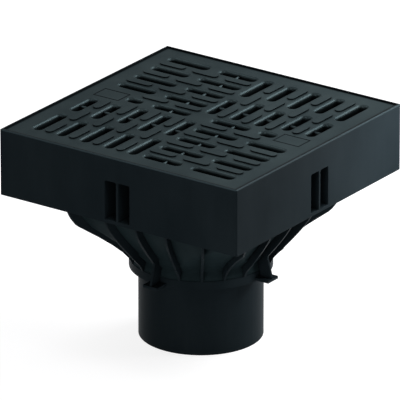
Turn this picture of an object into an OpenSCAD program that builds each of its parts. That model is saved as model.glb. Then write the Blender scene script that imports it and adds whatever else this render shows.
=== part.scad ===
// Yard gully: square plastic body with a ribbed funnel and a round outlet spigot, a cast
// grating, a perforated silt bucket with its handle, and a lift-out bell trap.
// Frame: millimetres, origin at the centre of the spigot's lower end, +Z up.

/* [View] */
// Piece to show

/* [Top frame] */
// Side of the square top frame
top_side = 250; // [248:1:254]
// Height of the skirt from its lower edge to the top
skirt_height = 61; // [60:0.5:64]
// Thickness of the skirt wall
skirt_wall = 3; // [2.6:0.1:3.4]
// Width of the rim left around the grating
rim_width = 2.3; // [2:0.1:2.6]
// Radius of the skirt's upright corners
skirt_corner = 1.5; // [1:0.1:2.5]
// Chamfer along the rim's outer edge
rim_chamfer = 0.9; // [0.6:0.1:1.2]
// Depth of the grating's seat below the top
seat_depth = 19; // [18:0.5:20]
// Thickness of the shelf that carries the grating
shelf_thickness = 3; // [2.6:0.1:3.4]
// Gap all round between the grating and the rim
grating_gap = 0.8; // [0.6:0.05:1]

/* [Side pockets] */
// Width of one pocket
pocket_width = 12; // [11:0.1:12.6]
// Height of the sill under the pockets
pocket_sill = 3; // [2.6:0.1:3.4]
// Thickness of the cheeks beside the pockets
pocket_cheek = 1.8; // [1.6:0.1:2.2]
// Radius of the pockets' upper corners
pocket_corner = 1.5; // [1:0.1:2]
// Thickness of the pocket's back wall
pocket_back = 0.6; // [0.4:0.1:1]

/* [Funnel] */
// Height from the collar's top to the skirt's lower edge
funnel_height = 68.5; // [68:0.5:72]
// Half width over the fins at the skirt's lower edge
fin_half_at_skirt = 102.5; // [102:0.5:103]
// Half width over the fins at the grating's seat
fin_half_at_seat = 110; // [109.5:0.5:110.5]
// Half width over the fins where the curve starts
curve_start_half = 97.5; // [97:0.5:98]
// Height above the collar where the curve starts
curve_start_height = 52.5; // [52:0.5:53]
// Half width at the curve's shoulder point
shoulder_half = 94.3; // [94:0.1:94.8]
// Height above the collar of the shoulder point
shoulder_height = 42.4; // [42:0.2:42.8]
// Half width over the fins at the throat
throat_half = 71.3; // [71:0.1:71.8]
// Height above the collar of the throat
throat_height = 15; // [14.6:0.2:15.4]
// Radius over the fins at the corner curve's middle point
neck_bend_radius = 66.6; // [66.2:0.2:67]
// Height above the collar of the corner curve's middle point
neck_bend_height = 14; // [13.5:0.5:14.5]
// Radius of the corner curve's upper end
corner_curve_radius = 130; // [129:1:131]
// Height above the collar of the corner curve's upper end
corner_curve_height = 51.5; // [51:0.5:52]
// Step from the collar's edge in to the neck
neck_step = 2.4; // [2.1:0.1:2.7]
// Height above the collar at which the neck is narrowest
neck_height = 8; // [7.5:0.5:8.5]
// Wall thickness of the funnel
funnel_wall = 3; // [2.6:0.1:3.2]

/* [Fins] */
// Number of fins round the funnel
fin_count = 20; // [16, 20, 24]
// Thickness of one fin
fin_thickness = 2.2; // [2:0.1:2.4]
// Distance of the funnel wall inside the fins' edges
fin_reach = 5.5; // [5:0.1:6]
// Height of the funnel wall above the fins' edges
fin_lift = 3.5; // [3:0.1:4]
// Depth of the gussets that tie the shelf to the skirt
gusset_depth = 20; // [16:1:24]

/* [Outlet] */
// Outside diameter of the spigot
spigot_diameter = 110; // [109.5:0.1:110.4]
// Wall thickness of the spigot
spigot_wall = 3.2; // [3:0.1:3.6]
// Length of the spigot below the collar
spigot_length = 64.5; // [60:0.5:75]
// Diameter of the collar
collar_diameter = 126.4; // [125.6:0.2:127]
// Height of the collar
collar_height = 8; // [7:0.5:9]
// Depth of the trap's ledge below the collar's top
ledge_depth = 3.5; // [3:0.1:4]
// Width of the trap's ledge
ledge_width = 6; // [5.4:0.1:7]
// Width of one lug
lug_width = 15; // [13:0.5:17]
// Distance of the lug's end from the axis
lug_reach = 76.7; // [75:0.1:78]
// Thickness of one lug
lug_thickness = 2.5; // [2:0.1:3]
// Drop of the lug's top below the collar's top
lug_drop = 4.5; // [4:0.1:5]
// Height of the upright end of the rib over a lug
lug_rib_end = 1; // [0.6:0.1:1.4]

/* [Grating] */
// Drop of the grating's surface below the rim
grating_drop = 1; // [0.8:0.1:1.2]
// Distance between two rows of slots
slot_pitch = 25.2; // [25:0.05:25.3]
// Width of a slot at its narrow part
slot_width = 8.1; // [7.6:0.1:8.4]
// Radius of the rolled edge at the slot's mouth
slot_roll = 2.2; // [2:0.1:2.3]
// Overall length of a long slot
slot_long = 46; // [45:0.5:46.5]
// Overall length of a shorter slot
slot_short = 41.5; // [41:0.1:42]
// Land between the two slots of a row
slot_land = 9; // [8.6:0.1:9.4]
// Distance from the centre to the first slot of a row
slot_start = 10.5; // [10:0.1:11]
// Thickness of the grating's bars
bar_thickness = 7.5; // [7:0.1:9]
// Width of the grating's edge frame
edge_width = 6; // [5:0.1:7]
// Width of the ribs under the bars
rib_width = 3.6; // [3:0.1:4]
// Distance of the ribs from the centre
rib_offset = 33; // [32:0.5:34]
// Depth of the ribs' top below the surface
rib_drop = 4.6; // [4:0.1:5]
// Height of the ribs
rib_height = 12; // [10:0.5:13]
// Length of a raised pad
pad_length = 26; // [24:0.5:27]
// Width of a raised pad
pad_width = 6.8; // [6.4:0.1:7]
// Height of a raised pad
pad_height = 0.9; // [0.6:0.1:1.2]
// Distance between two pads of a row
pad_pitch = 35; // [34:0.5:35.5]
// Length of the outlined field
field_length = 27; // [26:0.5:28]
// Width of the outlined field
field_width = 18.5; // [18:0.5:19]

/* [Silt bucket] */
// Depth of the bucket's ledge below the grating's seat
bucket_drop = 11; // [10.5:0.5:12]
// Width of the ledge that carries the bucket
bucket_ledge = 4; // [3.5:0.1:4.5]
// Thickness of the bucket's wall
bucket_wall = 2; // [1.8:0.1:2.4]
// Depth of the bucket
bucket_depth = 64; // [60:1:66]
// Half width of the bucket's floor
bucket_floor_half = 64; // [60:1:66]
// Play between the bucket and its ledge
bucket_play = 1; // [0.8:0.1:1.4]
// Thickness of the bucket's rim
bucket_rim = 2.5; // [2:0.1:3]
// Width of one drain slot in the bucket
drain_width = 4; // [3.4:0.1:4.6]
// Distance between two drain slots
drain_pitch = 16; // [15:0.5:18]
// Radius of the handle's wire
wire_radius = 1.6; // [1.4:0.1:1.8]
// Running clearance of the handle's wire in its eyes
wire_clearance = 0.08; // [0.05:0.01:0.1]

/* [Trap] */
// Play between the trap cup and the spigot's bore
cup_play = 1; // [0.8:0.1:1.2]
// Wall thickness of the trap's pieces
trap_wall = 2; // [1.8:0.1:2.4]
// Thickness of the cup's flange
cup_flange = 3; // [2.6:0.1:3.4]
// Depth of the cup below its flange
cup_depth = 49; // [46:0.5:52]
// Outside radius of the standpipe
standpipe_radius = 26; // [25:0.5:27]
// Drop of the standpipe's top below the flange's top
standpipe_drop = 6; // [5:0.5:8]
// Outside radius of the bell
bell_radius = 39; // [38:0.5:40]
// Gap between the bell's rim and the cup's floor
bell_lift = 7; // [6:0.5:9]
// Thickness of the rubber seal
seal_thickness = 2; // [1.6:0.1:2.4]
// Height of the bell's grip
grip_height = 18; // [16:0.5:20]

/* [Hidden] */
body_color = [0.13, 0.14, 0.15];
iron_color = [0.2, 0.22, 0.23];
bucket_color = [0.3, 0.31, 0.32];
wire_color = [0.7, 0.71, 0.72];
rubber_color = [0.06, 0.06, 0.06];
trap_color = [0.34, 0.35, 0.36];

top_half = top_side / 2;
collar_top = spigot_length + collar_height;
skirt_base = collar_top + funnel_height;
top_z = skirt_base + skirt_height;
seat_z = top_z - seat_depth;
shelf_base = seat_z - shelf_thickness;
ledge_z = collar_top - ledge_depth;
recess_half = top_half - rim_width;
plate_z = top_z - grating_drop;
bore_radius = spigot_diameter / 2 - spigot_wall;
seam = 1;
far = 400;
curve_steps = 6;
round_facets = 40;
small_facets = 16;
lug_top = collar_top - lug_drop;
gusset_foot = 1.4;
neck_clear = 4;
tail_drop = 4;
fin_foot_reach = 0.6;
fin_foot_radius = collar_diameter / 2 + fin_foot_reach;
neck_lean = 3.5;
neck_foot_step = 0.3;
neck_foot_radius = collar_diameter / 2 - neck_foot_step;
neck_radius = collar_diameter / 2 - neck_step;
tail_half = neck_radius + fin_reach + neck_clear;
wide = top_half * 1.5;
wall_corner = 6;
wall_lift = funnel_wall * 0.6;
roll_step = 45;
short_stub = 19;
end_cut = 5;
pad_first = 22.5;
pad_facets = 12;
field_inset = 2;
field_stroke = 0.8;
field_depth = 0.5;
box_half = fin_half_at_seat - fin_reach - funnel_wall;
box_slope = (fin_half_at_seat - fin_half_at_skirt) / (seat_z - skirt_base - fin_lift - wall_lift);
box_half_at_ledge = box_half - box_slope * bucket_drop;
ledge_corner = 8;
bucket_ledge_z = seat_z - bucket_drop;
bucket_top_half = box_half_at_ledge - bucket_ledge - bucket_play;
bucket_rim_half = box_half_at_ledge - bucket_play;
bucket_rim_top = bucket_ledge_z + bucket_rim;
bucket_floor_z = bucket_ledge_z - bucket_depth;
bucket_corner = 10;
wire_rest = 0.1;
wire_z = bucket_rim_top + wire_radius + wire_rest;
wire_bend_radius = 2.2;
eye_thickness = 1.8;
eye_half = 3.6;
eye_step = 0.1;
bend_clearance = 0.2;
eye_x = bucket_top_half - bucket_wall + eye_step;
bail_half = eye_x + eye_thickness + bend_clearance + wire_bend_radius;
pin_length = 3;
pin_end = eye_x - pin_length;
ledge_radius = neck_radius - funnel_wall;
trap_bore = min(bore_radius, ledge_radius - ledge_width);
seal_play = 0.6;
seal_width = ledge_width - 2 * seal_play;
flange_z = ledge_z + seal_thickness;
bell_roof = 3;
arm_width = 8;
grip_width = 10;
grip_bar = 5;

// A point on the curve from a to c that leans towards b, and a run of such points.
function bend_point(a, b, c, t) = (1 - t) * (1 - t) * a + 2 * t * (1 - t) * b + t * t * c;
function bend(a, b, c) = [for (i = [0:curve_steps]) bend_point(a, b, c, i / curve_steps)];

// Half width over the fins, from the skirt's lower edge down to the collar.
fin_side = concat(
    [[fin_half_at_skirt, funnel_height]],
    bend([curve_start_half, curve_start_height], [shoulder_half, shoulder_height], [throat_half, throat_height]),
    [[tail_half, throat_height - tail_drop], [tail_half, throat_height - far]]
);

// Radius over the fins at the funnel's corners, from the upper end down to the collar.
fin_corner = bend(
    [corner_curve_radius, corner_curve_height],
    [neck_bend_radius, neck_bend_height],
    [fin_foot_radius, 0]
);

// Radius of the wall there: the same upper end, drawn in to an upright neck.
wall_corner_line = bend(
    [corner_curve_radius - fin_reach, corner_curve_height + fin_lift],
    [neck_radius + neck_lean, 2 * neck_height],
    [neck_radius, neck_height]
);

// A line moved inwards and upwards, from collar heights to the frame's heights.
function moved(points, inward, upward) = [for (p = points) [p[0] - inward, p[1] + upward + collar_top]];

// Top points of the side line: the box wall rises from the skirt's lower edge to the seat.
function box_top(inward) = [[fin_half_at_seat - inward, seat_z]];
function corner_top(half, base) = [[(half - wall_corner) * sqrt(2) + wall_corner, base]];

// Turned radius of the bucket's corner, and the room that the funnel's inner corner leaves it.
function bucket_turn(half) = (half - bucket_corner) * sqrt(2) + bucket_corner;
corner_room = [for (p = moved(wall_corner_line, funnel_wall, wall_lift)) [p[1], p[0]]];

function mirrored(points) = concat(points, [for (i = [len(points) - 1:-1:0]) [-points[i][0], points[i][1]]]);

module rounded_square(half, r) {
    square([2 * half, 2 * (half - r)], center = true);
    square([2 * (half - r), 2 * half], center = true);
    for (x = [-1, 1], y = [-1, 1])
        translate([x * (half - r), y * (half - r)])
            circle(r, $fn = small_facets);
}

module rounded_block(half, r, low, high) {
    translate([0, 0, low])
        linear_extrude(high - low)
            rounded_square(half, r);
}

// Square-to-round solid: two crossed extrusions of the side line, cut by a turned corner line.
module square_to_round(side_points, corner_points) {
    highest = corner_points[0][1];
    lowest = corner_points[len(corner_points) - 1][1];
    intersection() {
        rotate([90, 0, 0])
            linear_extrude(far, center = true)
                polygon(mirrored(side_points));
        rotate([90, 0, 90])
            linear_extrude(far, center = true)
                polygon(mirrored(side_points));
        rotate_extrude($fn = round_facets)
            polygon(concat([[0, highest]], corner_points, [[0, lowest]]));
    }
}

// Box and funnel as one solid: the wall's outer face (depth = 0) or its inner face.
module funnel_solid(depth, lift, foot) {
    inward = fin_reach + depth;
    upward = fin_lift + lift;
    square_to_round(
        concat(box_top(inward), moved(fin_side, inward, upward)),
        concat(
            corner_top(fin_half_at_seat - inward, seat_z),
            corner_top(fin_half_at_skirt - inward, skirt_base + upward),
            moved(wall_corner_line, depth, lift),
            foot
        )
    );
}

module funnel_outside() {
    funnel_solid(0, 0, [[neck_foot_radius, collar_top]]);
}

module funnel_inside() {
    funnel_solid(funnel_wall, wall_lift, [[ledge_radius, ledge_z]]);
}

// Space that the fins may fill: the fin line below, gussets out to the skirt above.
module fin_space() {
    square_to_round(
        concat(
            [[top_half - skirt_wall, shelf_base + seam]],
            [[top_half - skirt_wall, shelf_base - gusset_depth]],
            [[fin_half_at_skirt + seam, shelf_base - gusset_foot * gusset_depth]],
            moved(fin_side, 0, 0)
        ),
        concat(
            [[wide, shelf_base + seam]],
            [[wide, skirt_base]],
            moved(fin_corner, 0, 0)
        )
    );
}

module fin_plates() {
    for (i = [0:fin_count / 2 - 1])
        rotate(i * 360 / fin_count)
            translate([0, 0, top_z / 2])
                cube([far, fin_thickness, far], center = true);
}

module collar() {
    translate([0, 0, spigot_length])
        cylinder(h = collar_height, r = collar_diameter / 2, $fn = round_facets);
}

module lug() {
    foot = collar_diameter / 2 - 2 * seam;
    translate([foot, -lug_width / 2, lug_top - lug_thickness])
        cube([lug_reach - foot, lug_width, lug_thickness]);
}

// Web between a lug and the fin above it.
module lug_rib() {
    foot = collar_diameter / 2 - 2 * seam;
    waist = collar_top + throat_height;
    rotate([90, 0, 0])
        linear_extrude(fin_thickness, center = true)
            polygon([
                [foot, lug_top],
                [lug_reach - lug_rib_end, lug_top],
                [lug_reach - lug_rib_end, lug_top + lug_rib_end],
                [throat_half, waist - lug_thickness],
                [throat_half, waist],
                [foot, waist]
            ]);
}

module pocket_block() {
    width = 2 * (pocket_width + pocket_cheek) + fin_thickness;
    inner = fin_half_at_skirt - fin_reach - 2 * seam;
    translate([inner, -width / 2, skirt_base])
        cube([top_half - seam - inner, width, shelf_base + seam - skirt_base]);
}

// One pocket: upright opening with rounded upper corners, cut back to the sloping box wall.
module pocket(side) {
    low = skirt_base + pocket_sill;
    mid = side * (fin_thickness + pocket_width) / 2;
    back = fin_half_at_skirt - fin_reach + pocket_back;
    rise = fin_half_at_seat - fin_half_at_skirt;
    run = pocket_width - 2 * pocket_corner;
    intersection() {
        rotate([90, 0, 0])
            linear_extrude(far, center = true)
                polygon([
                    [back, low],
                    [top_half + seam, low],
                    [top_half + seam, shelf_base],
                    [back + rise * (shelf_base - skirt_base) / (seat_z - skirt_base), shelf_base]
                ]);
        translate([0, mid, 0])
            rotate([90, 0, 90])
                linear_extrude(far)
                    union() {
                        translate([-pocket_width / 2, low])
                            square([pocket_width, shelf_base - low - pocket_corner]);
                        translate([-run / 2, low])
                            square([run, shelf_base - low]);
                        for (x = [-1, 1])
                            translate([x * run / 2, shelf_base - pocket_corner])
                                circle(pocket_corner, $fn = small_facets);
                    }
    }
}

module quarters() {
    for (a = [0:90:270])
        rotate(a)
            children();
}

module below(height) {
    intersection() {
        children();
        translate([-far, -far, height - far])
            cube([2 * far, 2 * far, far]);
    }
}

// Square frame: skirt, rim and shelf, with the pocket blocks that stand against the funnel.
module top_frame() {
    chamfer = rim_chamfer * sqrt(2);
    color(body_color)
        difference() {
            union() {
                difference() {
                    rounded_block(top_half, skirt_corner, skirt_base, top_z);
                    rounded_block(top_half - skirt_wall, skirt_corner, skirt_base - seam, shelf_base);
                }
                quarters()
                    pocket_block();
            }
            quarters()
                translate([top_half, 0, top_z])
                    rotate([0, 45, 0])
                        cube([chamfer, far, chamfer], center = true);
            rounded_block(recess_half, skirt_corner, seat_z, top_z + seam);
            below(shelf_base)
                funnel_outside();
            funnel_inside();
            quarters() {
                pocket(-1);
                pocket(1);
            }
        }
}

// Ledge inside the box that carries the bucket.
module bucket_shelf() {
    difference() {
        rounded_block(box_half + seam, skirt_corner, bucket_ledge_z - shelf_thickness, bucket_ledge_z);
        rounded_block(box_half_at_ledge - bucket_ledge, ledge_corner, shelf_base - far, seat_z + far);
    }
}

// Square-to-round shell that stands on the collar, with the ledge for the bucket.
module funnel() {
    color(body_color)
        difference() {
            below(shelf_base)
                funnel_outside();
            difference() {
                funnel_inside();
                bucket_shelf();
            }
        }
}

// Upright fins round the funnel, with the gussets that tie the shelf to the skirt.
module fins() {
    color(body_color)
        difference() {
            union() {
                below(shelf_base)
                    intersection() {
                        fin_space();
                        fin_plates();
                    }
                quarters()
                    lug_rib();
            }
            funnel_outside();
            collar();
            quarters()
                pocket_block();
        }
}

// Spigot with its collar and lugs, bored through, with the ledge for the trap.
module outlet_spigot() {
    color(body_color)
        difference() {
            union() {
                cylinder(h = spigot_length + seam, r = spigot_diameter / 2, $fn = round_facets);
                collar();
                quarters()
                    lug();
            }
            translate([0, 0, -seam])
                cylinder(h = spigot_length + seam, r = bore_radius, $fn = round_facets);
            cylinder(h = ledge_z + seam, r = trap_bore, $fn = round_facets);
            translate([0, 0, ledge_z])
                cylinder(h = collar_height, r = ledge_radius, $fn = round_facets);
        }
}

// Slot along +X from x0 to x1 (overall, rolled edges included), with its surface at z = 0.
module slot(x0, x1, deep) {
    half = slot_width / 2;
    ends = half + slot_roll;
    roll = [for (a = [0:roll_step:90]) [half + slot_roll * (1 - cos(a)), -slot_roll * (1 - sin(a))]];
    section = concat([[half, -deep]], roll, [[half + slot_roll, seam]]);
    translate([x0 + ends, 0, 0])
        rotate([90, 0, 90])
            linear_extrude(x1 - x0 - 2 * ends)
                polygon(mirrored(section));
    for (x = [x0 + ends, x1 - ends])
        translate([x, 0, 0])
            rotate_extrude($fn = small_facets)
                polygon(concat([[0, -deep]], section, [[0, seam]]));
}

// Slots of one row along +X, as [start, end] pairs: the longer slot outside or inside.
row_length = slot_long + slot_land + slot_short;
row_end = slot_start + row_length;
function row_slots(long_outside) = long_outside
    ? [[slot_start, slot_start + slot_short], [row_end - slot_long, row_end]]
    : [[slot_start, slot_start + slot_long], [row_end - slot_short, row_end]];

// Quarter whose rows run along +X: row 0 lies on the axis, its outer slot gives way to the field.
module quarter_slots(low) {
    for (k = [0:4])
        translate([0, k * slot_pitch, plate_z]) {
            pair = row_slots(k % 2 == 0);
            inner = pair[0];
            outer = pair[1];
            start = k > 2 ? slot_start + low : slot_start;
            slot(start, inner[1], bar_thickness + seam);
            if (k > 0 || low > 0)
                slot(outer[0], outer[1], bar_thickness + seam);
            else
                slot(outer[0], outer[0] + short_stub, bar_thickness + seam);
        }
}

module pad(x0, x1) {
    r = pad_width / 2;
    translate([0, 0, plate_z - seam])
        linear_extrude(pad_height + seam)
            union() {
                translate([x0 + r, -r])
                    square([x1 - x0 - pad_width, pad_width]);
                for (x = [x0 + r, x1 - r])
                    translate([x, 0])
                        circle(r, $fn = pad_facets);
            }
}

module quarter_pads(low) {
    for (k = [0:3], i = [0:2])
        if (!(k == 0 && i == 2 && low == 0))
            translate([0, (k + 0.5) * slot_pitch, 0]) {
                middle = pad_first + i * pad_pitch;
                start = k == 3 && i == 0 ? middle - pad_length / 2 + low : middle - pad_length / 2;
                pad(start, middle + pad_length / 2);
            }
}

// Shallow line round the plain field that takes the place of a slot.
module field_line() {
    translate([row_end + field_inset - field_length, -field_width / 2, plate_z - field_depth])
        linear_extrude(field_depth + seam)
            difference() {
                square([field_length, field_width]);
                translate([field_stroke, field_stroke])
                    square([field_length - 2 * field_stroke, field_width - 2 * field_stroke]);
            }
}

// Rib under a quarter's bars, across its rows.
module quarter_rib(half) {
    translate([rib_offset - rib_width / 2, 0, plate_z - rib_drop - rib_height])
        cube([rib_width, half - seam, rib_height]);
}

module grating() {
    half = recess_half - grating_gap;
    color(iron_color)
        difference() {
            union() {
                difference() {
                    rounded_block(half, skirt_corner, seat_z, plate_z);
                    rounded_block(half - edge_width, skirt_corner, seat_z - seam, plate_z - bar_thickness);
                    for (a = [0, 180])
                        rotate(a) {
                            mirror([1, 0, 0])
                                quarter_slots(0);
                            rotate(90)
                                mirror([0, 1, 0])
                                    quarter_slots(end_cut);
                        }
                }
                for (a = [0, 180])
                    rotate(a) {
                        mirror([1, 0, 0]) {
                            quarter_pads(0);
                            quarter_rib(half);
                        }
                        rotate(90)
                            mirror([0, 1, 0]) {
                                quarter_pads(end_cut);
                                quarter_rib(half);
                            }
                    }
            }
            for (a = [0, 180])
                rotate(a)
                    mirror([1, 0, 0])
                        field_line();
        }
}

// Bucket: tapered square vessel with a flat rim, two eyes for the handle and drain slots.
module bucket_shape(inset, low, high) {
    top = bucket_top_half - inset;
    floor_half = bucket_floor_half - inset;
    floor_corner = min(bucket_turn(floor_half), lookup(low, corner_room) - bucket_play - inset);
    square_to_round(
        [[top, high], [floor_half, low]],
        [[bucket_turn(top), high], [floor_corner, low]]
    );
}

module bucket_eye() {
    height = wire_z + 2 * wire_radius;
    rotate([90, 0, 90])
        linear_extrude(eye_thickness)
            union() {
                translate([-eye_half, bucket_rim_top - bucket_rim + seam / 2])
                    square([2 * eye_half, wire_z - bucket_rim_top + bucket_rim - seam / 2]);
                translate([0, wire_z])
                    circle(eye_half, $fn = 2 * small_facets);
            }
}

module silt_bucket() {
    color(bucket_color)
        difference() {
            union() {
                bucket_shape(0, bucket_floor_z, bucket_rim_top - seam / 2);
                rounded_block(bucket_rim_half, bucket_corner, bucket_rim_top - bucket_rim, bucket_rim_top);
                for (s = [0, 180])
                    rotate(s)
                        translate([eye_x, 0, 0])
                            bucket_eye();
            }
            difference() {
                bucket_shape(bucket_wall, bucket_floor_z - seam, bucket_rim_top + seam);
                translate([0, 0, bucket_floor_z - seam])
                    cylinder(h = bucket_wall + seam, r = wide, $fn = 4);
            }
            rotate([0, 90, 0])
                translate([-wire_z, 0, 0])
                    cylinder(h = far, r = wire_radius + wire_clearance, center = true, $fn = 2 * small_facets);
            for (i = [-2:2], a = [0, 90])
                rotate(a)
                    translate([0, i * drain_pitch, bucket_floor_z + bucket_depth / 2])
                        cube([far, drain_width, bucket_depth / 2], center = true);
            for (i = [-3:3])
                translate([0, i * drain_pitch, bucket_floor_z])
                    cube([1.5 * bucket_floor_half, drain_width, 4 * bucket_wall], center = true);
        }
}

// Handle: round wire with bent corners, lying on the bucket's rim.
module wire(length) {
    cylinder(h = length, r = wire_radius, $fn = small_facets);
}

module wire_bend() {
    rotate_extrude(angle = 90, $fn = small_facets)
        translate([wire_bend_radius, 0])
            circle(wire_radius, $fn = small_facets);
}

module bucket_handle() {
    reach = bail_half - wire_bend_radius;
    color(wire_color)
        translate([0, 0, wire_z])
            union() {
                for (s = [0, 1])
                    mirror([s, 0, 0]) {
                        translate([pin_end, 0, 0])
                            rotate([0, 90, 0])
                                wire(reach - pin_end);
                        translate([reach, wire_bend_radius, 0])
                            rotate(-90)
                                wire_bend();
                        translate([bail_half, wire_bend_radius, 0])
                            rotate([-90, 0, 0])
                                wire(reach - wire_bend_radius);
                        translate([reach, reach, 0])
                            wire_bend();
                        translate([0, bail_half, 0])
                            rotate([0, 90, 0])
                                wire(reach);
                    }
            }
}

// Trap: a seal on the body's ledge, the cup hung from its flange, and the bell over the standpipe.
module trap_seal() {
    color(rubber_color)
        rotate_extrude($fn = round_facets)
            translate([ledge_radius - seal_play - seal_width, ledge_z])
                square([seal_width, seal_thickness]);
}

module trap_cup() {
    outer = trap_bore - cup_play;
    pipe = standpipe_radius;
    low = flange_z - cup_depth;
    top = flange_z + cup_flange;
    color(trap_color)
        rotate_extrude($fn = round_facets)
            polygon([
                [pipe - trap_wall, low],
                [outer, low],
                [outer, flange_z],
                [ledge_radius - seal_play, flange_z],
                [ledge_radius - seal_play, top],
                [outer - trap_wall, top],
                [outer - trap_wall, low + trap_wall],
                [pipe, low + trap_wall],
                [pipe, top - standpipe_drop],
                [pipe - trap_wall, top - standpipe_drop]
            ]);
}

module trap_bell() {
    top = flange_z + cup_flange;
    rim = flange_z - cup_depth + trap_wall + bell_lift;
    roof = top + bell_roof;
    arm_end = trap_bore + seal_play;
    grip_half = bell_radius / 2;
    color(trap_color)
        union() {
            rotate_extrude($fn = round_facets)
                polygon([
                    [bell_radius - trap_wall, rim],
                    [bell_radius, rim],
                    [bell_radius, roof],
                    [bell_radius - bell_roof, roof + trap_wall],
                    [0, roof + trap_wall],
                    [0, roof],
                    [bell_radius - trap_wall, roof]
                ]);
            for (a = [45:90:315])
                rotate(a)
                    translate([bell_radius - trap_wall, -arm_width / 2, top])
                        cube([arm_end - bell_radius + trap_wall, arm_width, bell_roof]);
            rotate([90, 0, 0])
                linear_extrude(grip_width, center = true)
                    difference() {
                        union() {
                            translate([-grip_half, roof])
                                square([2 * grip_half, grip_height - grip_bar]);
                            translate([-grip_half + grip_bar, roof])
                                square([2 * (grip_half - grip_bar), grip_height]);
                            for (x = [-1, 1])
                                translate([x * (grip_half - grip_bar), roof + grip_height - grip_bar])
                                    circle(grip_bar, $fn = 2 * small_facets);
                        }
                        translate([-grip_half + grip_bar, roof + trap_wall])
                            square([2 * (grip_half - grip_bar), grip_height - grip_bar - trap_wall]);
                    }
        }
}

top_frame();
funnel();
fins();
outlet_spigot();
grating();
silt_bucket();
bucket_handle();
trap_seal();
trap_cup();
trap_bell();
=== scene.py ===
import math

import bpy
import numpy as np
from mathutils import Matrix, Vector


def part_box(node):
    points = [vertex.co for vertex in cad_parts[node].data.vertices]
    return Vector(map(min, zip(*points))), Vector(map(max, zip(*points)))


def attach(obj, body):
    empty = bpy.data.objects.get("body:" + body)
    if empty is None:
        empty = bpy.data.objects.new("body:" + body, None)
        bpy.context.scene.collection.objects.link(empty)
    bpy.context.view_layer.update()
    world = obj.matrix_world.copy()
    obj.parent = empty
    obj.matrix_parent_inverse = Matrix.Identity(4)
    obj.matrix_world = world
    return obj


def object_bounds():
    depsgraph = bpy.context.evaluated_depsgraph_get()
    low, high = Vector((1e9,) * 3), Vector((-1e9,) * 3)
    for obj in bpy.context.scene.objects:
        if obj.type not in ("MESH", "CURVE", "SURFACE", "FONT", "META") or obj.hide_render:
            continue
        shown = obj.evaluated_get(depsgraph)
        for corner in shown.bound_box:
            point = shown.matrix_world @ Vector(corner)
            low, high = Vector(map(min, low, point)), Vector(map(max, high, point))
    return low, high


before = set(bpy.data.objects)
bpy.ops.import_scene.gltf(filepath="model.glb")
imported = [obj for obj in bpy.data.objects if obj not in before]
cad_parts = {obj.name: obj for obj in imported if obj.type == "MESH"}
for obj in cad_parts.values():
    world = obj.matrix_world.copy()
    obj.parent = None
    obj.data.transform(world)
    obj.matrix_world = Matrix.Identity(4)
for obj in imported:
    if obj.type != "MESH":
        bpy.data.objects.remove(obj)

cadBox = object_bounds()
print("frame loaded:", ", ".join(sorted(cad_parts)))


class Sock:
    # Wraps a node's output socket, so that shader maths reads as plain expressions.
    def __init__(self, graph, link):
        self.graph = graph
        self.link = link

    def maths(self, operation, *values):
        return self.graph.node(
            "ShaderNodeMath", {"operation": operation}, dict(enumerate(values))
        )

    def __add__(self, other):
        return self.maths("ADD", self, other)

    def __radd__(self, other):
        return self.maths("ADD", other, self)

    def __sub__(self, other):
        return self.maths("SUBTRACT", self, other)

    def __rsub__(self, other):
        return self.maths("SUBTRACT", other, self)

    def __mul__(self, other):
        return self.maths("MULTIPLY", self, other)

    def __rmul__(self, other):
        return self.maths("MULTIPLY", other, self)

    def __truediv__(self, other):
        return self.maths("DIVIDE", self, other)

    def __rtruediv__(self, other):
        return self.maths("DIVIDE", other, self)

    def __gt__(self, other):
        return self.maths("GREATER_THAN", self, other)

    def __lt__(self, other):
        return self.maths("LESS_THAN", self, other)

    def __abs__(self):
        return self.maths("ABSOLUTE", self)

    def largest(self, other):
        return self.maths("MAXIMUM", self, other)


class Graph:
    # The nodes of one material or world.
    def __init__(self, tree):
        self.tree = tree
        tree.nodes.clear()

    def node(self, kind, options=None, sockets=None, out=0):
        # Makes any node, sets its options, fills its sockets and gives one output.
        # A ramp's stops are two greys, each with its place.
        made = self.tree.nodes.new(kind)
        for key, value in (options or {}).items():
            if key == "stops":
                for element, (place, shade) in zip(made.color_ramp.elements, value):
                    element.position = place
                    element.color = (shade, shade, shade, 1.0)
            else:
                setattr(made, key, value)
        for key, value in (sockets or {}).items():
            socket = made.inputs[key]
            if isinstance(value, Sock):
                self.tree.links.new(value.link, socket)
            elif socket.type == "RGBA":
                socket.default_value = (*value, 1.0)
            else:
                socket.default_value = value
        return Sock(self, made.outputs[out]) if made.outputs else None

    def place(self, scale=(1, 1, 1)):
        coords = self.node("ShaderNodeTexCoord", out="Object")
        return self.node("ShaderNodeMapping", {}, {"Vector": coords, "Scale": scale})

    def axis(self, place, number):
        return self.node("ShaderNodeSeparateXYZ", {}, {0: place}, out=number)

    def noise(self, place, scale, detail, roughness=0.5):
        return self.node(
            "ShaderNodeTexNoise",
            {},
            {"Vector": place, "Scale": scale, "Detail": detail, "Roughness": roughness},
        )

    def ramp(self, value, stops):
        return self.node("ShaderNodeValToRGB", {"stops": stops}, {"Fac": value})

    def mix(self, factor, dark, light):
        sockets = {0: factor, 6: dark, 7: light}
        return self.node("ShaderNodeMix", {"data_type": "RGBA"}, sockets, out=2)

    def finish(self, shader):
        self.node("ShaderNodeOutputMaterial", {}, {"Surface": shader})

    def coat(self, sockets):
        self.finish(self.node("ShaderNodeBsdfPrincipled", {}, sockets))


def newMaterial(name):
    material = bpy.data.materials.new(name)
    material.use_nodes = True
    return material, Graph(material.node_tree)


def dress(names, material):
    for name in names:
        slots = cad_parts[name].data.materials
        slots.clear()
        slots.append(material)
    print("dressed:", ", ".join(names))


def newPiece(name, points, faces, material):
    mesh = bpy.data.meshes.new(name)
    mesh.from_pydata(points, [], faces)
    mesh.materials.append(material)
    piece = bpy.data.objects.new(name, mesh)
    bpy.context.scene.collection.objects.link(piece)
    return piece


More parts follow.
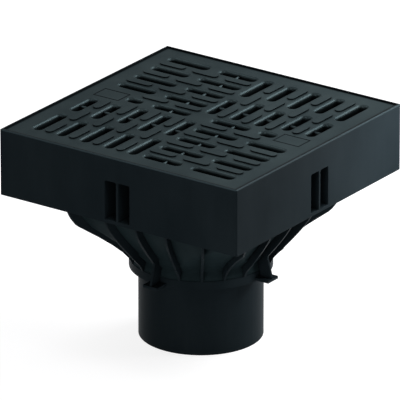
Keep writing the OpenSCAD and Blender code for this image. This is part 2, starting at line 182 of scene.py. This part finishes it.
def blended(first, second, share):
    return first * share + second * (1 - share)


def varied(middle, spread, noise):
    # The middle value, moved up and down by a noise that runs from 0 to 1.
    return middle + (noise - 0.5) * spread


raysPerPoint = 8  # for each rounded edge and each corner's painted shade


def rounded(graph, radius):
    # Rounds edges in shading only.
    return graph.node("ShaderNodeBevel", {"samples": raysPerPoint}, {"Radius": radius})


def relief(graph, height, values, edge=None):
    # Fine relief, on top of rounded edges where they are given.
    sockets = {
        "Strength": values["reliefStrength"],
        "Distance": values["reliefDepth"],
        "Height": height,
    }
    if edge:
        sockets["Normal"] = edge
    return graph.node("ShaderNodeBump", {}, sockets)


def cornerShadeFactor(graph, values):
    # 1 on open surfaces, falling to 0 in tight corners: the mask of the painted shade in
    # corners, from ambient occlusion.
    exposed = graph.node(
        "ShaderNodeAmbientOcclusion",
        {"samples": raysPerPoint},
        {"Distance": values["cornerShadeReach"]},
        out="AO",
    )
    return graph.ramp(exposed, values["cornerShadeStops"])


def outward(graph, place):
    # Distance from the middle in square rings: the larger of |x| and |y|.
    return abs(graph.axis(place, 0)).largest(abs(graph.axis(place, 1)))


def rimShadeAndHighlight(graph, place, color, values):
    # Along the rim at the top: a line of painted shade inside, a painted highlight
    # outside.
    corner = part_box("top_frame")[1]
    width = values["rimWidth"]
    high = graph.axis(place, 2) > corner.z - values["rimHeight"]
    across = (outward(graph, place) - (corner.x - width)) / width
    edge = graph.ramp(across, values["rimStops"])
    rim = graph.mix(edge, values["paintedShade"], values["rimHighlight"])
    return graph.mix(high, color, rim)


def makePlastic(name, values):
    material, graph = newMaterial(name)
    place = graph.place()
    cloud = graph.noise(place, **values["cloud"])
    flow = graph.noise(graph.place(values["flowStretch"]), **values["flow"])
    grain = graph.noise(place, **values["grain"])
    shade = graph.ramp(blended(cloud, flow, values["cloudShare"]), values["shadeStops"])
    unshaded = graph.mix(shade, values["dark"], values["light"])
    # Painted shade: the colour is darkened in corners, by ambient occlusion.
    color = graph.mix(cornerShadeFactor(graph, values), values["paintedShade"], unshaded)
    if "rimWidth" in values:
        color = rimShadeAndHighlight(graph, place, color, values)
    edge = rounded(graph, values["softEdge"])
    graph.coat(
        {
            "Base Color": color,
            "Roughness": varied(values["roughness"], values["roughnessSpread"], flow),
            "Normal": relief(graph, grain, values, edge),
            "Specular IOR Level": values["specular"],
        }
    )
    return material


# Lengths are in metres and colours are linear.
bodyPlastic = {
    "dark": (0.0126, 0.0198, 0.0242),
    "light": (0.0203, 0.0296, 0.0348),
    "shadeStops": [(0.35, 0.0), (0.68, 1.0)],  # from dark to light
    "cloud": {"scale": 14.0, "detail": 4.0},  # soft patches, this many to a metre
    "cloudShare": 0.6,  # the rest is flow
    "flow": {"scale": 6.0, "detail": 3.0},  # upright streaks of the moulding
    "flowStretch": (9, 9, 2),
    "grain": {"scale": 1900.0, "detail": 2.0},  # fine grain of the mould
    "reliefStrength": 0.5,
    "reliefDepth": 0.00005,
    "roughness": 0.44,
    "roughnessSpread": 0.1,
    "specular": 0.014,
    "softEdge": 0.0006,
    # colour of the painted shade in corners and along the rim's inner line
    "paintedShade": (0.0050, 0.0074, 0.0090),
    "cornerShadeReach": 0.003,  # how far the painted shade lies out from a corner
    "cornerShadeStops": [(0.15, 0.0), (0.75, 1.0)],
}
dress(("fins", "outlet_spigot"), makePlastic("bodyPlastic", bodyPlastic))

framePlastic = {
    **bodyPlastic,
    "rimWidth": 0.0023,
    "rimHeight": 0.0010,  # down from the top
    "rimStops": [(0.42, 0.0), (0.58, 1.0)],  # across the rim, from painted shade to painted highlight
    # colour of the painted highlight on the rim's outer edge
    "rimHighlight": (0.039, 0.058, 0.066),
}
dress(("top_frame",), makePlastic("framePlastic", framePlastic))

funnelPlastic = {
    **bodyPlastic,
    "dark": (0.0170, 0.0290, 0.0330),
    "light": (0.0270, 0.0440, 0.0490),
    "specular": 0.006,
    "softEdge": 0.006,  # wide, so that the funnel's flats and corners flow together
}
dress(("funnel",), makePlastic("funnelPlastic", funnelPlastic))

bucketPlastic = {
    **bodyPlastic,
    "dark": (0.020, 0.027, 0.031),
    "light": (0.034, 0.044, 0.049),
    "grain": {"scale": 1300.0, "detail": 2.0},
}
dress(("silt_bucket",), makePlastic("bucketPlastic", bucketPlastic))

trapPlastic = {
    **bodyPlastic,
    "dark": (0.030, 0.034, 0.036),
    "light": (0.046, 0.052, 0.055),
    "roughness": 0.38,
}
dress(("trap_cup", "trap_bell"), makePlastic("trapPlastic", trapPlastic))

sealRubber = {
    **bodyPlastic,
    "dark": (0.008, 0.008, 0.009),
    "light": (0.016, 0.016, 0.017),
    "grain": {"scale": 2600.0, "detail": 2.0},
    "roughness": 0.72,
    "specular": 0.08,
}
dress(("trap_seal",), makePlastic("sealRubber", sealRubber))


handleWire = {
    "dark": (0.42, 0.43, 0.44),
    "light": (0.58, 0.59, 0.60),
    "cloud": {"scale": 60.0, "detail": 3.0},
    "drawn": {"scale": 1.0, "detail": 2.0},  # marks drawn out along the wire
    "drawnStretch": (40, 900, 900),
    "reliefStrength": 0.4,
    "reliefDepth": 0.00003,
    "metallic": 1.0,
    "roughness": 0.30,
    "roughnessSpread": 0.1,
}


def makeWire(values):
    material, graph = newMaterial("handleWire")
    cloud = graph.noise(graph.place(), **values["cloud"])
    drawn = graph.noise(graph.place(values["drawnStretch"]), **values["drawn"])
    graph.coat(
        {
            "Base Color": graph.mix(cloud, values["dark"], values["light"]),
            "Metallic": values["metallic"],
            "Roughness": varied(values["roughness"], values["roughnessSpread"], drawn),
            "Normal": relief(graph, drawn, values),
        }
    )
    return material


dress(("bucket_handle",), makeWire(handleWire))


coatedIron = {
    "dark": (0.020, 0.029, 0.032),
    "light": (0.033, 0.046, 0.049),
    "shadeStops": [(0.32, 0.0), (0.7, 1.0)],  # from dark to light
    "cloud": {"scale": 22.0, "detail": 5.0, "roughness": 0.6},
    "cast": {"scale": 900.0, "detail": 3.0, "roughness": 0.6},  # skin of the casting
    "castShare": 0.6,  # the rest is pits
    "pits": {"scale": 320.0, "detail": 2.0},
    "reliefStrength": 0.6,
    "reliefDepth": 0.00008,
    "metallic": 0.7,
    "edgeTint": (0.50, 0.53, 0.54),  # reflectance towards grazing angles
    "roughness": 0.36,
    "roughnessSpread": 0.12,
    "specular": 0.02,
    "padHeight": 0.0009,  # the pads' tops stand so far over the grating's surface
    "surfaceSlack": 0.0001,  # so that the surface itself counts as above the line
    "rollRadius": 0.0022,  # round, below the surface, where the slots' edges roll in
    "crispRadius": 0.0003,  # at the surface and above, where the pads stand
    # colour of the painted shade at pad feet, deep in the slots and in the bands
    "paintedShade": (0.003, 0.004, 0.005),
    "cornerShadeReach": 0.004,  # how far the painted shade lies out from the foot of a pad
    "cornerShadeStops": [(0.70, 0.0), (0.97, 1.0)],
    "unshadedDepth": 0.0020,  # below the surface, down to which there is no painted shade
    "darkDepth": 0.0050,  # from here down the painted shade in the slots is as dark as it gets
    "darkShare": 0.15,  # of its own colour, the rest is painted shade
    "borderReach": 0.0018,  # painted shade band along the grating's outer edge, beside the gap to the rim
    "fieldCentre": 0.0955,  # middles of the two outlined fields, at this x, either side
    "fieldHalf": (0.0131, 0.00885),  # to the middle of the line round a field
    "fieldReach": 0.0011,  # painted shade band on both sides of that line
    "bandStops": [(0.4, 0.0), (1.0, 1.0)],
}


def gratingSurface():
    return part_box("grating")[1].z - coatedIron["padHeight"]


def shadeBandFactor(graph, place, values):
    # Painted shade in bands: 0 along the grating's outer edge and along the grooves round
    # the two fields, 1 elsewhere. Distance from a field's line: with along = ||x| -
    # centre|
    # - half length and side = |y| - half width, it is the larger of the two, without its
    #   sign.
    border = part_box("grating")[1].x - outward(graph, place)
    halfLength, halfWidth = values["fieldHalf"]
    along = abs(abs(graph.axis(place, 0)) - values["fieldCentre"]) - halfLength
    side = abs(graph.axis(place, 1)) - halfWidth
    line = abs(along.largest(side))
    edge = graph.ramp(border / values["borderReach"], values["bandStops"])
    return edge * graph.ramp(line / values["fieldReach"], values["bandStops"])


def makeCoatedIron(values):
    material, graph = newMaterial("coatedIron")
    place = graph.place()
    cloud = graph.noise(place, **values["cloud"])
    cast = graph.noise(place, **values["cast"])
    pits = graph.noise(place, **values["pits"])
    height = graph.axis(place, 2)
    crisp = height > gratingSurface() - values["surfaceSlack"]
    edge = graph.node(
        "ShaderNodeMix",
        {"data_type": "VECTOR"},
        {
            0: crisp,
            4: rounded(graph, values["rollRadius"]),
            5: rounded(graph, values["crispRadius"]),
        },
        out=1,
    )
    shade = graph.ramp(cloud, values["shadeStops"])
    iron = graph.mix(shade, values["dark"], values["light"])
    # Painted shade: the iron is darker the deeper it lies in the slots.
    risen = height - (gratingSurface() - values["darkDepth"])
    depthShade = graph.ramp(
        risen / (values["darkDepth"] - values["unshadedDepth"]),
        [(0.0, values["darkShare"]), (1.0, 1.0)],
    )
    # Painted shade from corners, from depth in the slots and from the bands, all together.
    unshaded = cornerShadeFactor(graph, values) * depthShade * shadeBandFactor(graph, place, values)
    skin = blended(cast, pits, values["castShare"])
    graph.coat(
        {
            "Base Color": graph.mix(unshaded, values["paintedShade"], iron),
            "Metallic": values["metallic"],
            "Roughness": varied(values["roughness"], values["roughnessSpread"], cloud),
            "Normal": relief(graph, skin, values, edge),
            "Specular IOR Level": values["specular"],
            "Specular Tint": values["edgeTint"],
        }
    )
    return material


ironMaterial = makeCoatedIron(coatedIron)
dress(("grating",), ironMaterial)


ribCrown = {
    "offset": 0.033,  # from the centre to the middle of a rib
    "halfWidth": 0.00175,
    "ribDrop": 0.0046,  # from the grating's surface down to the rib's flat top
    "sunk": 0.0004,  # how far the crown's foot sits inside the rib
    "rise": 0.0028,
    "overrun": 0.006,  # past the centre line, over all of the slot that lies there
    "endInset": 0.004,
    "steps": 14,
}


def makeRibCrowns(values, material):
    # Rounded crowns on the four ribs that cross the inner slots, one to each quarter of
    # the grating. Section: half an ellipse, with across = half width times cosine and
    # height = foot + (rise + sunk) times sine. It is carried straight along the rib,
    # and the bar is turned by no, one, two and three quarter turns.
    turn = np.linspace(0, np.pi, values["steps"] + 1)
    foot = gratingSurface() - values["ribDrop"] - values["sunk"]
    ends = np.array([-values["overrun"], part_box("grating")[1].y - values["endInset"]])
    bar = np.empty((len(ends), len(turn), 3))
    bar[..., 0] = values["halfWidth"] * np.cos(turn) - values["offset"]
    bar[..., 1] = ends[:, None]
    bar[..., 2] = foot + (values["rise"] + values["sunk"]) * np.sin(turn)
    quarters = np.arange(4) * np.pi / 2
    cosine, sine = np.cos(quarters).round(), np.sin(quarters).round()
    across, along = bar[..., 0], bar[..., 1]
    points = np.tile(bar, (len(quarters), 1, 1, 1))
    points[..., 0] = np.multiply.outer(cosine, across) - np.multiply.outer(sine, along)
    points[..., 1] = np.multiply.outer(sine, across) + np.multiply.outer(cosine, along)
    index = np.arange(points[..., 0].size).reshape(points.shape[:3])
    after = np.roll(index, -1, axis=2)
    sides = np.stack([index[:, 0], index[:, 1], after[:, 1], after[:, 0]], axis=-1)
    caps = np.concatenate([index[:, 0], index[:, 1, ::-1]])
    faces = sides.reshape(-1, 4).tolist() + caps.tolist()
    crowns = newPiece("ribCrowns", points.reshape(-1, 3).tolist(), faces, material)
    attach(crowns, "root")
    print("rib crowns made")


makeRibCrowns(ribCrown, ironMaterial)


def seenDirectly(graph):
    # 1 for camera, glossy and transmission rays, 0 for the rays that light the part.
    camera, glossy, through = (
        graph.node("ShaderNodeLightPath", out=f"Is {ray} Ray")
        for ray in ("Camera", "Glossy", "Transmission")
    )
    return camera.largest(glossy.largest(through))


studioLight = {
    "floorSize": 60.0,
    "floorColor": (0.42, 0.42, 0.43),
    "glowNear": 0.84,  # the floor's glow beside the part, low enough to keep its shadow
    "nearRadius": 0.35,
    "farRadius": 1.1,
    "worldAmbient": 0.16,
    "worldShown": 1.0,
    "lamps": {
        # name: watts, side in metres, place
        "side": (0.25, 0.08, (0.24, 0.13, 0.190)),  # below the top, for the right face
        "front": (0.38, 0.16, (0.17, -0.17, 0.50)),
        "fill": (1.8, 0.50, (0.20, -1.10, 0.15)),
        "back": (11.0, 0.65, (0.32, 0.78, 0.76)),  # shines on the slots' far edges
        "left": (2.4, 0.60, (-0.58, -0.03, 1.05)),
        "glaze": (0.15, 0.25, (-0.13, 0.44, 0.40)),  # seen by the top's right half
    },
}


def makeFloor(values):
    # A square round the origin, at the foot of the part.
    material, graph = newMaterial("paleFloor")
    corners = np.array([[-1, -1], [1, -1], [1, 1], [-1, 1]]) * values["floorSize"] / 2
    points = np.column_stack([corners, np.full(len(corners), cadBox[0].z)])
    floor = newPiece("floor", points.tolist(), [(0, 1, 2, 3)], material)
    matt = graph.node("ShaderNodeBsdfDiffuse", {}, {"Color": values["floorColor"]})
    distance = graph.node(
        "ShaderNodeVectorMath", {"operation": "LENGTH"}, {0: graph.place()}, out=1
    )
    spread = graph.node(
        "ShaderNodeMapRange",
        {"interpolation_type": "SMOOTHSTEP"},
        {
            "Value": distance,
            "From Min": values["nearRadius"],
            "From Max": values["farRadius"],
            "To Min": values["glowNear"],
        },
    )
    glow = graph.node("ShaderNodeEmission", {}, {"Color": spread})
    shown = graph.node("ShaderNodeAddShader", {}, {0: matt, 1: glow})
    mixed = {0: seenDirectly(graph), 1: matt, 2: shown}
    graph.finish(graph.node("ShaderNodeMixShader", {}, mixed))


def makeWorld(values):
    world = bpy.data.worlds.new("studio")
    bpy.context.scene.world = world
    world.use_nodes = True
    sky = Graph(world.node_tree)
    dim, shown = (
        sky.node("ShaderNodeBackground", {}, {"Strength": values[strength]})
        for strength in ("worldAmbient", "worldShown")
    )
    mixed = {0: seenDirectly(sky), 1: dim, 2: shown}
    surface = sky.node("ShaderNodeMixShader", {}, mixed)
    sky.node("ShaderNodeOutputWorld", {}, {"Surface": surface})


def makeLamps(values):
    # Square lamps, each turned to the middle of the part.
    middle = (cadBox[0] + cadBox[1]) / 2
    for name, (power, size, place) in values["lamps"].items():
        light = bpy.data.lights.new(name, "AREA")
        light.energy = power
        light.size = size
        lamp = bpy.data.objects.new(name, light)
        lamp.location = place
        aim = middle - lamp.location
        lamp.rotation_euler = aim.to_track_quat("-Z", "Y").to_euler()
        bpy.context.scene.collection.objects.link(lamp)


makeFloor(studioLight)
makeWorld(studioLight)
makeLamps(studioLight)
print("studio built")


cameraView = {
    "azimuth": 35.2,  # degrees round the part, 0 looks along +Y
    "elevation": 21.8,  # degrees above the horizon
    "distance": 7.06,  # metres from the aim point
    "aimBelowTop": 0.0778,  # metres under the top of the frame
    "lens": 729.2,  # millimetres, a long lens so that edges stay parallel
    "shiftX": -0.0025,  # part of the frame's width
    "shiftY": -0.00125,
    "clipEnd": 100.0,
}


def makeCamera(values):
    azimuth, elevation = (math.radians(values[k]) for k in ("azimuth", "elevation"))
    back = Vector(
        (
            math.sin(azimuth) * math.cos(elevation),
            -math.cos(azimuth) * math.cos(elevation),
            math.sin(elevation),
        )
    )
    aim = Vector((0, 0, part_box("top_frame")[1].z - values["aimBelowTop"]))
    lens = bpy.data.cameras.new("camera")
    lens.lens = values["lens"]
    lens.shift_x = values["shiftX"]
    lens.shift_y = values["shiftY"]
    lens.clip_end = values["clipEnd"]
    viewer = bpy.data.objects.new("camera", lens)
    viewer.location = aim + back * values["distance"]
    viewer.rotation_euler = (-back).to_track_quat("-Z", "Y").to_euler()
    bpy.context.scene.collection.objects.link(viewer)
    bpy.context.scene.camera = viewer


makeCamera(cameraView)
bpy.context.scene.view_settings.view_transform = "Standard"
print("camera set")
